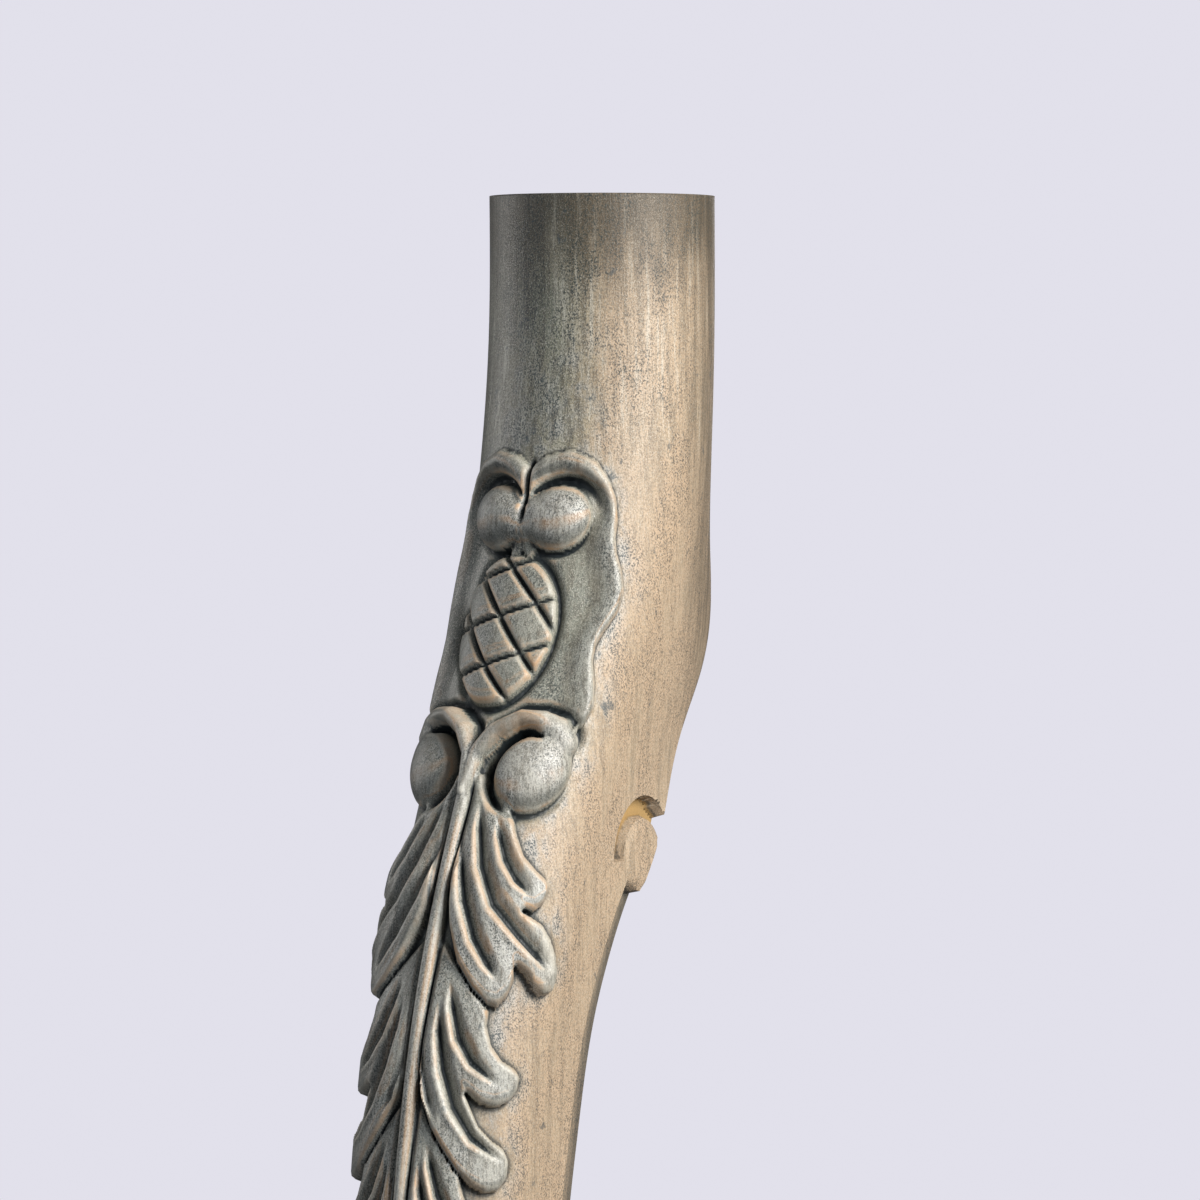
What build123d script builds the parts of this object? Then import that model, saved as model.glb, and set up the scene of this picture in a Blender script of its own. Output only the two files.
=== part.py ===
# Carved table leg with a bowed knee.
# Table axes: +X along the front apron, +Y along the side apron, +Z up.
# The origin is the middle of the square post, on the leg's top face.
# The knee points towards (-1, -1).
# The leg is modelled with its knee towards -Y and turned at the end.
# a = across, q = outwards to the knee, drop = down from the top, all in mm.
from build123d import *
import math
import os
import numpy as np

# driving values, mm
height = 720.0
post_half = 35.5
joint_depth = 140.0
mortise_wide = 8.0
mortise_tall = 90.0
mortise_deep = 18.0
mortise_cheek = 5.0
mortise_top = 25.0
rebate_deep = 4.2
rebate_wide = 12.0
rebate_start = 205.0
rebate_end = 600.0
disc_radius = 11.3
disc_out = 24.5
moat_radius = 18.5
carving_start = 76.0
carving_end = 436.0
ring_step = 4.0
front_turns = [3.3 * k for k in range(21)] + [72, 80, 90]

# outer line of the knee, rear edge, half width and bulge of the front, (drop, value)
front_line = [
    (0, 35.5), (45, 36), (85, 41.5), (120, 51), (152, 65), (186, 80.5), (219, 94.5),
    (253, 105.5), (305, 115.5), (350, 120.5), (400, 121.5), (450, 117.5), (500, 108.5),
    (550, 98), (600, 89), (640, 85.5), (675, 90), (705, 99), (720, 100),
]
rear_line = [
    (0, -25.8), (60, -25.8), (110, -25.8), (140, -25), (152, -19), (169, -6.5), (186, 5),
    (202, 15.5), (219, 28), (236, 38), (253, 45.5), (286, 53.5), (320, 59), (353, 61.5),
    (400, 62.5), (450, 60.5), (500, 56.5), (550, 52), (600, 48), (640, 45.5), (675, 42),
    (705, 37), (720, 36),
]
half_line = [
    (0, 35.5), (60, 35.5), (110, 34.5), (152, 32), (186, 30.5), (219, 30), (253, 29),
    (305, 27.5), (350, 26), (400, 24), (450, 22), (500, 20), (550, 18), (600, 16.5),
    (640, 16.5), (675, 19), (705, 25), (720, 26),
]
bulge_line = [
    (0, 35.5), (60, 35.5), (110, 35), (152, 33), (219, 31), (305, 29), (400, 26),
    (500, 22), (600, 17.5), (640, 17), (675, 20), (705, 26), (720, 27),
]
rear_half_line = [
    (0, 25.8), (60, 25.8), (110, 25.8), (140, 25.6), (160, 24.8), (180, 26.5), (205, 30),
    (219, 30), (253, 29), (305, 27.5), (350, 26), (400, 24), (450, 22), (500, 20),
    (550, 18), (600, 16.5), (640, 16.5), (675, 19), (705, 25), (720, 26),
]
ridge_line = [(0, 0), (140, 0), (152, 4), (169, 14), (186, 25.0), (720, 25.0)]

# carved lines on the right half of the front: (degrees round from the knee line, drop, half width)
rim_path = [
    (1, 95, 3.2), (2.5, 88, 3.6), (10, 84.5, 4), (20, 83, 4), (30, 85.2, 3.6), (36.5, 89.5, 3.2),
    (41.5, 95, 2.8), (44, 101, 2.6), (44.5, 107.2, 2.6), (51, 117.8, 3), (54, 123.5, 3.2),
    (53.5, 129.2, 3), (47.5, 139.2, 2.6), (48.5, 144.8, 2.6), (55, 157.5, 3), (49, 166, 2.6),
]
stem_path = [(0, 184, 2), (2, 172, 3), (10, 165, 3), (22, 161.3, 3), (33, 162, 3.6), (42, 164.5, 4.4), (48, 169, 5)]
# outline of the first leaf, and the flutes gouged down its lobes
first_leaf = [
    (0, 176), (12, 178), (24, 184), (31, 189.8), (36, 196), (50.5, 205.8), (57, 208.5), (60, 212),
    (58.5, 216), (53, 218.5), (47.5, 217.8), (60, 221.5), (67, 226), (76.5, 237.5), (74, 242.5),
    (68, 243.5), (55, 236.5), (49, 234.2), (50.5, 238), (48, 243), (43, 246), (36, 245), (27, 240.5),
    (16.5, 232.8), (8.5, 222.5), (0, 206),
]
first_flutes = [
    [(22, 189.8, 1.2), (26, 196, 2.2), (32, 203, 2.8), (40, 209, 2.8), (49.5, 214, 1.2)],
    [(10.5, 185.2, 1.2), (20, 205, 2.9), (30.5, 216, 3.2), (47.5, 225.2, 3.1), (69.5, 236.5, 1.2)],
    [(5.5, 196, 1.2), (14.5, 215, 2.9), (24, 226, 3), (41, 238.5, 1.2)],
]
# the leaf below it, which repeats smaller and narrower down the knee
next_leaf = [
    (0, 222), (16, 232), (30, 240), (39.5, 246.5), (40, 251), (51, 261), (63.5, 266), (63, 270.5),
    (58, 274), (50, 275.3), (41, 274), (33, 270.8), (43, 280.5), (58.5, 287), (63, 291), (63, 296),
    (57.5, 299.8), (49, 300.3), (31, 293.5), (14.5, 281), (3, 264), (0, 256),
]
next_flutes = [
    [(15, 238.5, 1.2), (25, 254.8, 3), (34, 262, 2.8), (50.5, 269, 1.2)],
    [(11.5, 244, 1.2), (18.5, 264, 3), (27, 275, 3.2), (39, 284, 2.9), (57, 291.2, 1.2)],
]


def smooth_line(points):
    """Natural cubic through (drop, value) points."""
    x = np.array([p[0] for p in points], float)
    y = np.array([p[1] for p in points], float)
    n = len(x)
    h = np.diff(x)
    system = np.eye(n)
    right = np.zeros(n)
    for i in range(1, n - 1):
        system[i, i - 1] = h[i - 1]
        system[i, i] = 2 * (h[i - 1] + h[i])
        system[i, i + 1] = h[i]
        right[i] = 6 * ((y[i + 1] - y[i]) / h[i] - (y[i] - y[i - 1]) / h[i - 1])
    bend = np.linalg.solve(system, right)

    def value(at):
        i = int(np.clip(np.searchsorted(x, at) - 1, 0, n - 2))
        low = x[i + 1] - at
        high = at - x[i]
        curve = (bend[i] * low ** 3 + bend[i + 1] * high ** 3) / (6 * h[i])
        start = (y[i] / h[i] - bend[i] * h[i] / 6) * low
        end = (y[i + 1] / h[i] - bend[i + 1] * h[i] / 6) * high
        return float(curve + start + end)

    return value


front = smooth_line(front_line)
rear = smooth_line(rear_line)
half = smooth_line(half_line)
bulge = smooth_line(bulge_line)
rear_half = smooth_line(rear_half_line)


def ramp(value, low, high):
    """0 below low, 1 above high and smooth between."""
    t = np.clip((value - low) / (high - low), 0, 1)
    return t * t * (3 - 2 * t)


def dome(distance, radius):
    """Height, from 0 to 1, of a round swelling."""
    return np.sqrt(np.clip(1 - (distance / radius) ** 2, 0, 1))


def across(turn, drop):
    """Distance round the front from the knee line, in mm."""
    w = half(drop)
    b = bulge(drop)
    t = np.radians(turn)
    middles = [t * (k + 0.5) / 12 for k in range(12)]
    return sum(np.sqrt((w * np.cos(m)) ** 2 + (b * np.sin(m)) ** 2) for m in middles) * t / 12


def laid(path, start=0.0, shift=0.0, length=1.0, spread=1.0):
    """A path of (turn, drop, half width) as (across, drop, half width) in mm, moved and narrowed."""
    out = []
    for point in path:
        drop = start + (point[1] - start) * length + shift
        wide = point[2] * (0.5 + 0.5 * spread) if len(point) > 2 else 1.0
        out.append((float(across(point[0] * spread, drop)), drop, wide))
    return out


def along(path, u, drop):
    """Distance from a path, the share of it passed and the half width there."""
    best = np.full(u.shape, 1e9)
    share = np.zeros(u.shape)
    wide = np.ones(u.shape)
    spans = [math.dist(a[:2], b[:2]) for a, b in zip(path, path[1:])]
    gone = 0.0
    for (ax, ay, aw), (bx, by, bw), span in zip(path, path[1:], spans):
        t = np.clip(((u - ax) * (bx - ax) + (drop - ay) * (by - ay)) / span ** 2, 0, 1)
        d = np.hypot(u - ax - t * (bx - ax), drop - ay - t * (by - ay))
        near = d < best
        best = np.where(near, d, best)
        share = np.where(near, (gone + t * span) / sum(spans), share)
        wide = np.where(near, aw + t * (bw - aw), wide)
        gone += span
    return best, share, wide


def inside(outline, u, drop):
    """Distance to a closed outline, positive within it."""
    distance = np.full(u.shape, 1e9)
    within = np.zeros(u.shape, bool)
    for (ax, ay, _), (bx, by, _) in zip(outline, outline[1:] + outline[:1]):
        t = np.clip(((u - ax) * (bx - ax) + (drop - ay) * (by - ay)) / ((bx - ax) ** 2 + (by - ay) ** 2), 0, 1)
        distance = np.minimum(distance, np.hypot(u - ax - t * (bx - ax), drop - ay - t * (by - ay)))
        if (ay > drop) != (by > drop):
            within ^= u < ax + (drop - ay) / (by - ay) * (bx - ax)
    return np.where(within, distance, -distance)


rim = laid(rim_path)
stem = laid(stem_path)
leaves = []
for shift, length, spread, proud in ((132, 0.62, 0.5, 2.4), (92, 0.8, 0.72, 3.0), (47, 0.94, 0.9, 3.6), (0, 1, 1, 4.2)):
    outline = laid(next_leaf, 236, shift, length, spread)
    leaves.append((outline, [laid(f, 236, shift, length, spread) for f in next_flutes], proud))
leaves.append((laid(first_leaf), [laid(f) for f in first_flutes], 4.6))


def carving(u, drop):
    """Height of the carving above the plain leg at distances u from the knee line."""
    side = u
    u = np.abs(u)
    h = np.zeros(u.shape)
    # each leaf overlaps the one below it
    for outline, flutes, proud in leaves:
        within = inside(outline, u, drop)
        top = min(p[1] for p in outline)
        foot = max(p[1] for p in outline)
        plate = proud * (0.42 + 0.58 * ramp((drop - top) / (foot - top), 0.0, 0.55))
        leaf = plate * np.sqrt(np.clip(1 - (1 - np.clip(within / 1.8, 0, 1)) ** 2, 0, 1))
        for flute in flutes:
            d, share, wide = along(flute, u, drop)
            leaf = leaf - 2.8 * (1 - ramp(d / wide, 0.0, 1.0)) * ramp(wide, 0.9, 2.2)
        h = np.where(within > 0, np.maximum(leaf, 0.2), h)
    # midrib
    rib = np.interp(drop, (172, 184, 300, 436), (1.4, 2.9, 2.6, 1.0))
    rib_high = 4.2 * ramp(drop, 168, 184) * (1 - ramp(drop, 385, 434))
    h = np.maximum(h * ramp(u / rib, 0.8, 1.3), rib_high * dome(u, rib))
    # hollow field rising to the wavy rim
    d, share, wide = along(rim, u, drop)
    within = inside(rim + [(0.0, 166.0, 1.0)], u, drop) > 0
    field = 1 - ramp(drop, 160, 168)
    slope = 3.2 * np.exp(-((d / 4.6) ** 1.5)) - 1.2 * ramp(d, 2, 8)
    h = np.where(within, slope * field + h * (1 - field), np.maximum(h, 3.2 * dome(d, wide)))
    # pine cone in its oval recess, cut across both ways
    pu = side - 1.4
    pv = drop - 137.5
    r = np.hypot(pu / 15.6, pv / 23.8)
    h = h - 2.3 * np.exp(-(((r - 1.04) / 0.09) ** 2))
    one = np.abs(((pu * 0.84 - pv * 0.56 + 2.6) / 8.0) % 1 - 0.5) * 2
    two = np.abs(((pu * 0.3 + pv * 0.95 + 4.5) / 10.2) % 1 - 0.5) * 2
    cuts = np.maximum(ramp(one, 0.6, 1.0), ramp(two, 0.65, 1.0))
    h = np.where(r < 1.0, np.maximum(3.6 * dome(r, 1.02) - 2.0 * cuts - 0.3, -2.2), h)
    # upper scrolls with their eyes, a hooked groove over each
    eye_u = u - float(across(17.5, 100))
    eye = np.hypot(eye_u, (101 - drop) / 1.06)
    angle = np.degrees(np.arctan2(101 - drop, eye_u))
    hook = np.exp(-(((eye - 12.4) / 1.7) ** 2)) * ramp(152 - angle, 0, 24) * ramp(angle, -60, -10)
    h = h - 3.4 * hook
    h = np.where(eye < 10.9, np.maximum(h, 6.8 * dome(eye, 10.9) - 0.7), h)
    h = h - 2.2 * np.exp(-((u / 1.2) ** 2)) * ramp(drop, 80, 86) * (1 - ramp(drop, 108, 114))
    # lower scrolls: a stem over each eye, with a comma cut under it
    d, share, wide = along(stem, u, drop)
    h = np.where(d < wide + 0.4, np.maximum(h, 5.2 * dome(d, wide + 0.4)), h)
    eye_u = u - float(across(35, 177))
    eye = np.hypot(eye_u, 177 - drop)
    angle = np.degrees(np.arctan2(177 - drop, eye_u)) % 360
    h = np.where(eye < 12.6, np.maximum(h, 7.4 * dome(eye, 12.6) - 0.7), h)
    comma = np.exp(-(((eye - 12.2) / 1.6) ** 2)) * ramp(angle, 64, 90) * (1 - ramp(angle, 215, 250))
    return h - 4.4 * comma


def ridge_rise(drop):
    """How far the square inner corner has merged into the rear of the leg."""
    return float(np.interp(drop, [p[0] for p in ridge_line], [p[1] for p in ridge_line]))


def front_points(drop, side):
    """Points round the carved front of one section, from the knee line to one side."""
    w = half(drop)
    b = bulge(drop)
    qc = front(drop) - b
    turns = np.array(front_turns)
    high = carving(side * across(turns, drop), drop) * (1 - ramp(turns, 74, 88))
    if drop <= carving_start or drop >= carving_end:
        high = high * 0
    t = np.radians(turns)
    nx = np.sin(t) / w
    ny = -np.cos(t) / b
    size = np.hypot(nx, ny)
    x = w * np.sin(t) + nx / size * high
    y = -(qc + b * np.cos(t)) + ny / size * high
    return [(float(px), float(py)) for px, py in zip(x, y)]


def side_points(drop, stepped):
    """Points from the right side round to the middle of the rear, with the rebate if stepped."""
    w = half(drop)
    wr = rear_half(drop)
    qc = front(drop) - bulge(drop)
    qr = rear(drop)
    ridge = -qr + 25.8 - ridge_rise(drop)
    step = 1 - rebate_wide / (qc - qr)
    shares = [step * 0.3, step * 0.6, step * 0.85, step]
    if drop < rebate_start - 60:
        shares = [0.25, 0.5, 0.7, 0.85]
    points = []
    for share in shares:
        t = (math.sqrt(1.17 ** 2 - 0.68 * share) - 1.17) / -0.34
        points.append(((1 - t * t) * w + t * t * wr, -(qc + share * (qr - qc))))
    if stepped:
        inner = points[-1][0] - rebate_deep
        points.append((inner, points[-1][1]))
        points.append((inner, -qr))
    else:
        points.append(points[-1])
        points.append((wr, -qr))
    points.append((0.0, ridge))
    return points


def ring(drop, stepped=False):
    """All the corner points of one section, closed round the leg."""
    right = front_points(drop, 1) + side_points(drop, stepped)
    left = front_points(drop, -1) + side_points(drop, stepped)
    left = [(-x, y) for x, y in left[-2:0:-1]]
    return [(round(x, 4), round(y, 4), round(-drop, 4)) for x, y in right + left]


def chiselled_leg():
    """One closed solid of small flat cuts between the sections."""
    plain_post = list(np.linspace(0, carving_start, 5))
    knee = list(np.arange(carving_start + ring_step, rebate_start, ring_step)) + [rebate_start]
    shin = list(np.arange(rebate_start + ring_step, 346, ring_step))
    shin += list(np.linspace(350, carving_end, 13)) + list(np.linspace(carving_end + 16, rebate_end, 9))
    foot = list(np.linspace(rebate_end, height, 9))
    rings = [ring(float(d)) for d in plain_post + knee]
    rings += [ring(float(d), True) for d in [rebate_start] + shin]
    rings += [ring(float(d)) for d in foot]
    cuts = []
    for upper, lower in zip(rings, rings[1:]):
        for i in range(len(upper)):
            j = (i + 1) % len(upper)
            for corners in ((upper[i], lower[i], upper[j]), (upper[j], lower[i], lower[j])):
                if len(set(corners)) == 3:
                    cuts.append(Face(Wire.make_polygon(corners, close=True)))
    for end in (rings[0], rings[-1]):
        outline = [p for i, p in enumerate(end) if p != end[i - 1]]
        cuts.append(Face(Wire.make_polygon(outline, close=True)))
    return Solid(Shell(cuts))


def trims():
    """Blocks that trim the two flat faces the aprons butt against."""
    reach = 60.0
    block = Pos(post_half + reach / 2, 0, -joint_depth / 2 + 5) * Box(reach, 200, joint_depth + 10)
    return [Rot(0, 0, turn) * block for turn in (45, 135)]


def moats():
    """The round moat that leaves an eye standing on each side, at the head of the rebate."""
    out = []
    for side in (1, -1):
        floor = half(rebate_start) - rebate_deep
        place = Pos(side * (floor + 10), -disc_out, -rebate_start) * Rot(0, 90, 0)
        ring_cut = place * (Cylinder(moat_radius, 20) - Cylinder(disc_radius, 20))
        out.append(ring_cut & (Pos(0, 0, 100 - rebate_start) * Box(200, 300, 200)))
    return out


def mortises():
    """The two blind slots for the apron tongues, in table axes."""
    middle = mortise_cheek + mortise_wide / 2
    deep = post_half - mortise_deep / 2
    z = -mortise_top - mortise_tall / 2
    front_slot = Pos(deep, middle, z) * Box(mortise_deep, mortise_wide, mortise_tall)
    side_slot = Pos(middle, deep, z) * Box(mortise_wide, mortise_deep, mortise_tall)
    return [front_slot, side_slot]


leg = chiselled_leg()
turn = Rot(0, 0, 45)
leg = leg.cut(*trims(), *moats(), *[turn * slot for slot in mortises()])
if isinstance(leg, (list, ShapeList)):
    leg = max(leg, key=lambda piece: piece.volume)
leg = Rot(0, 0, -45) * leg
leg.label = "leg"

os.makedirs("parts", exist_ok=True)
export_step(leg, "parts/leg.step")
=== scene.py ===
import math

import bpy
import numpy as np
from mathutils import Matrix, Vector


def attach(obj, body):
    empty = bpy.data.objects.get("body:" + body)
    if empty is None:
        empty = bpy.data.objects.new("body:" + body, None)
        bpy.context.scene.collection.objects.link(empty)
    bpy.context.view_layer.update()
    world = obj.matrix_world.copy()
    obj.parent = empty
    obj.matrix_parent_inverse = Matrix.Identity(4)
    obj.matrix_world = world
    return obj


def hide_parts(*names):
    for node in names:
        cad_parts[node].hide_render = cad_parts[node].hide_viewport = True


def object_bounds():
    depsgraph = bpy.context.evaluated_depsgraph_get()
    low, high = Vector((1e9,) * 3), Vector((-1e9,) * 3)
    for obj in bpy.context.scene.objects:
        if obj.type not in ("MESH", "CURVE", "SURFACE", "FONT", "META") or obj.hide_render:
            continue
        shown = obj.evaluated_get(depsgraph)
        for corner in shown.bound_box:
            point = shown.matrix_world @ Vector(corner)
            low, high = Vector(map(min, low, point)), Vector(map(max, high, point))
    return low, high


bl_info = {
    "name": "Carved Table Leg",
    "version": (1, 0, 0),
    "blender": (4, 5, 0),
    "location": "View3D > Sidebar > Table Leg",
    "description": "Builds a carved and painted table leg with scrolls, a pineapple and acanthus leaves",
    "category": "Add Mesh",
}

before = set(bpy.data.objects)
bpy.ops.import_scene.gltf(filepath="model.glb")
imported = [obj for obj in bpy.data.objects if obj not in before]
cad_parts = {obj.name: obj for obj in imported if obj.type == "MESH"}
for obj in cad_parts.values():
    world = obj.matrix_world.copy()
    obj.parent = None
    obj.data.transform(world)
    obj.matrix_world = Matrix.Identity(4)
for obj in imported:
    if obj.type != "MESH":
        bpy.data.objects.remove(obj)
CAD_BOX = [[float(value) for value in corner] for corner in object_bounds()]

# The leg's own lines, in millimetres: (drop from the top, value).
FRONT = (
    (0, 35.5), (45, 36), (85, 41.5), (120, 51), (152, 65), (186, 80.5), (219, 94.5),
    (253, 105.5), (305, 115.5), (350, 120.5), (400, 121.5), (450, 117.5), (500, 108.5),
    (550, 98), (600, 89), (640, 85.5), (675, 90), (705, 99), (720, 100),
)
REAR = (
    (0, -25.1), (60, -25.1), (110, -25.1), (140, -24), (152, -19), (169, -6.5), (186, 5),
    (202, 15.5), (219, 28), (236, 38), (253, 45.5), (286, 53.5), (320, 59), (353, 61.5),
    (400, 62.5), (450, 60.5), (500, 56.5), (550, 52), (600, 48), (640, 45.5), (675, 42),
    (705, 37), (720, 36),
)
HALF = (
    (0, 35.5), (60, 35.5), (110, 34.5), (152, 32), (186, 30.5), (219, 30), (253, 29),
    (305, 27.5), (350, 26), (400, 24), (450, 22), (500, 20), (550, 18), (600, 16.5),
    (640, 16.5), (675, 19), (705, 25), (720, 26),
)
BULGE = (
    (0, 35.5), (60, 35.5), (110, 35), (152, 33), (219, 31), (305, 29), (400, 26),
    (500, 22), (600, 17.5), (640, 17), (675, 20), (705, 26), (720, 27),
)
REAR_HALF = (
    (0, 25.1), (60, 25.1), (110, 25.1), (140, 25), (160, 24.8), (180, 26.5), (205, 30),
    (219, 30), (253, 29), (305, 27.5), (350, 26), (400, 24), (450, 22), (500, 20),
    (550, 18), (600, 16.5), (640, 16.5), (675, 19), (705, 25), (720, 26),
)
RIDGE = ((0, 25.1), (140, 25.1), (152, 21.1), (169, 11.1), (186, 0), (720, 0))
SIDE_BEND = 0.585
ARC_STEPS = 12

# The round eye of each side, its moat and the rebate below them, in millimetres.
EYE_RADIUS = 11.3
MOAT_RADIUS = 18.5
EYE_OUT = 24.5
EYE_DROP = 205.0
SNAP_REACH = 0.8
CUT_DEEP = 4.2
REBATE_WIDE = 12
REBATE_GAP = 0.6
REBATE_END = (560, 600)

# Rows and columns of the grid: drops, degrees round the front and shares of the way back.
DROPS = np.concatenate((
    np.linspace(0, 78, 13)[:-1],
    np.linspace(78, 330, 291)[:-1],
    np.linspace(330, 440, 56)[:-1],
    np.linspace(440, 720, 20),
))
TURNS = np.concatenate((np.linspace(0, 60, 67)[:-1], np.linspace(60, 90, 13)))
FLANK_STEPS = np.linspace(0, 1, 36)[None, 1:]
REBATE_STEPS = np.linspace(0, 1, 7)[None, :]
REAR_STEPS = np.linspace(0, 1, 5)[1:]
# Heights beyond this count as carved, in millimetres.
CARVED_FROM = 0.12

# Carved lines on the right half of the knee: (degrees round from the knee line, drop, half width).
RIM = (
    (1, 95, 3), (2.5, 88, 3.4), (10, 84.5, 3.7), (20, 83, 3.7), (30, 85.2, 3.2),
    (36.5, 89.5, 2.8), (41.5, 95, 2.4), (44, 101, 2.2), (44.5, 107.2, 2.2), (46.5, 111.8, 2.3),
    (51, 117.8, 2.6), (54, 123.5, 2.8), (53.5, 129.2, 2.6), (50, 134.2, 2.2), (47.5, 139.2, 2),
    (48.5, 144.8, 2.1), (52.5, 151.2, 2.4), (55, 157.5, 2.6), (53, 162.5, 2.4), (49, 166, 2.2),
)
STEM = (
    (0, 184, 1.5), (2, 172, 2.4), (10, 165, 2.6), (22, 161.3, 2.7), (33, 162, 3.2),
    (42, 164.5, 4), (48, 169, 4.6),
)
FIRST_LEAF = (
    (0, 176), (12, 178), (24, 184), (31, 189.8), (36, 196), (42, 201.5), (50.5, 205.8),
    (57, 208.5), (60, 212), (58.5, 216), (53, 218.5), (47.5, 217.8), (52, 219), (60, 221.5),
    (67, 226), (73, 231.5), (76.5, 237.5), (74, 242.5), (68, 243.5), (62, 241), (55, 236.5),
    (49, 234.2), (50.5, 238), (48, 243), (43, 246), (36, 245), (27, 240.5), (16.5, 232.8),
    (8.5, 222.5), (4, 213), (0, 206),
)
FIRST_FLUTES = (
    ((22, 189.8, 0.8), (26, 196, 1.8), (32, 203, 2.4), (40, 209, 2.3), (49.5, 214, 0.8)),
    (
        (10.5, 185.2, 0.8), (14, 194, 1.9), (20, 205, 2.5), (30.5, 216, 2.8),
        (47.5, 225.2, 2.7), (58, 230.5, 2.3), (69.5, 236.5, 0.8),
    ),
    (
        (5.5, 196, 0.8), (9, 205, 1.9), (14.5, 215, 2.5), (24, 226, 2.6), (33, 233, 2.2),
        (41, 238.5, 0.8),
    ),
)
NEXT_LEAF = (
    (0, 222), (16, 232), (30, 240), (39.5, 246.5), (40, 251), (44, 256.5), (51, 261),
    (59, 263.5), (63.5, 266), (63, 270.5), (58, 274), (50, 275.3), (41, 274), (33, 270.8),
    (37, 275), (43, 280.5), (51, 284.5), (58.5, 287), (63, 291), (63, 296), (57.5, 299.8),
    (49, 300.3), (40, 298), (31, 293.5), (22, 287), (14.5, 281), (7, 272), (3, 264), (0, 256),
)
NEXT_FLUTES = (
    ((15, 238.5, 0.8), (19, 246, 2.0), (25, 254.8, 2.6), (34, 262, 2.4), (50.5, 269, 0.8)),
    (
        (11.5, 244, 0.8), (13.5, 253, 1.9), (18.5, 264, 2.6), (27, 275, 2.8), (39, 284, 2.5),
        (57, 291.2, 0.8),
    ),
    ((4.5, 254, 0.6), (7, 264, 1.5), (12, 273, 1.8), (19, 280.5, 0.6)),
)
# The drop from which the lower leaves are drawn shorter.
LEAF_START = 236
# The leaves, the lowest first: outline, flutes, shift down, length, spread and height.
LEAVES = (
    (NEXT_LEAF, NEXT_FLUTES, 132, 0.62, 0.5, 2.4),
    (NEXT_LEAF, NEXT_FLUTES, 92, 0.8, 0.72, 3.0),
    (NEXT_LEAF, NEXT_FLUTES, 47, 0.94, 0.9, 3.6),
    (NEXT_LEAF, NEXT_FLUTES, 0, 1, 1, 4.2),
    (FIRST_LEAF, FIRST_FLUTES, 0, 1, 1, 4.6),
)
# How leaves are rounded at the edge, gouged and crested, and how high the rest stands.
LEAF_ROUND = 1.9
LEAF_LEAST = 0.25
GENTLE_SIDE = 1.5
STEEP_SIDE = 0.62
FLUTE_DEEP = 3.1
FLUTE_CREST = 0.55
# The midrib's half width at each drop.
MIDRIB = ((172, 1.2), (184, 2.5), (300, 2.3), (380, 1.8), (436, 0.6))
MIDRIB_PROUD = 4.2
RIM_PROUD = 3.2
PINEAPPLE_AT = (-2.4, 134.1)
PINEAPPLE_HALF = (18.0, 22.8)
# The scrolls' eyes: degrees and drop of their centres, then their radii.
UPPER_EYE = (17.5, 100.0)
LOWER_EYE = (35.0, 177.0)
UPPER_BALL = 10.8
LOWER_BALL = 12.4
BALL_SUNK = 0.7


def smooth_line(points, at):
    """Natural cubic through (drop, value) points, at an array of drops."""
    x = np.array([p[0] for p in points], float)
    y = np.array([p[1] for p in points], float)
    n = len(x)
    h = np.diff(x)
    system = np.eye(n)
    right = np.zeros(n)
    for i in range(1, n - 1):
        system[i, i - 1:i + 2] = h[i - 1], 2 * (h[i - 1] + h[i]), h[i]
        right[i] = 6 * ((y[i + 1] - y[i]) / h[i] - (y[i] - y[i - 1]) / h[i - 1])
    bend = np.linalg.solve(system, right)
    at = np.asarray(at, float)
    i = np.clip(np.searchsorted(x, at) - 1, 0, n - 2)
    low = x[i + 1] - at
    high = at - x[i]
    curve = (bend[i] * low ** 3 + bend[i + 1] * high ** 3) / (6 * h[i])
    curve += (y[i] / h[i] - bend[i] * h[i] / 6) * low
    return curve + (y[i + 1] / h[i] - bend[i + 1] * h[i] / 6) * high


def ramp(value, low, high):
    """0 below low, 1 above high and smooth between."""
    t = np.clip((value - low) / (high - low), 0, 1)
    return t * t * (3 - 2 * t)


def between(value, rise, fall):
    """Up from 0 to 1 over the rise and down again over the fall."""
    return ramp(value, *rise) * (1 - ramp(value, *fall))


def bell(value, centre, width):
    """1 at the centre, falling off smoothly over the width on both sides."""
    return np.exp(-((value - centre) / width) ** 2)


def dome(share, power=0.5):
    """1 at share 0 and 0 from share 1 on, rounded over."""
    return np.clip(1 - share ** 2, 0, 1) ** power


def arc_across(degrees, drop):
    """Millimetres across the front from the knee line, for degrees round it."""
    w = smooth_line(HALF, drop)
    b = smooth_line(BULGE, drop)
    t = np.radians(np.asarray(degrees, float))
    total = np.zeros(np.broadcast(t, w).shape)
    for k in range(ARC_STEPS):
        middle = t * (k + 0.5) / ARC_STEPS
        total = total + np.hypot(w * np.cos(middle), b * np.sin(middle)) * t / ARC_STEPS
    return total


def flat_path(points, shift=0.0, length=1.0, spread=1.0):
    """Points of (degrees, drop, half width) as (across, drop, half width) in millimetres.

    The path may be moved down, made shorter from LEAF_START on and drawn in to the knee line.
    """
    out = []
    for degrees, drop, *wide in points:
        drop = LEAF_START + (drop - LEAF_START) * length + shift
        across = float(arc_across(degrees * spread, drop))
        out.append((across, drop, *(value * (0.5 + 0.5 * spread) for value in wide)))
    return out


def to_segment(u, v, start, end):
    """Distance to a segment and how far along it the nearest point lies, from 0 to 1."""
    (ax, ay), (bx, by) = start[:2], end[:2]
    dx, dy = bx - ax, by - ay
    t = np.clip(((u - ax) * dx + (v - ay) * dy) / (dx * dx + dy * dy), 0, 1)
    return np.hypot(u - ax - t * dx, v - ay - t * dy), t


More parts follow.
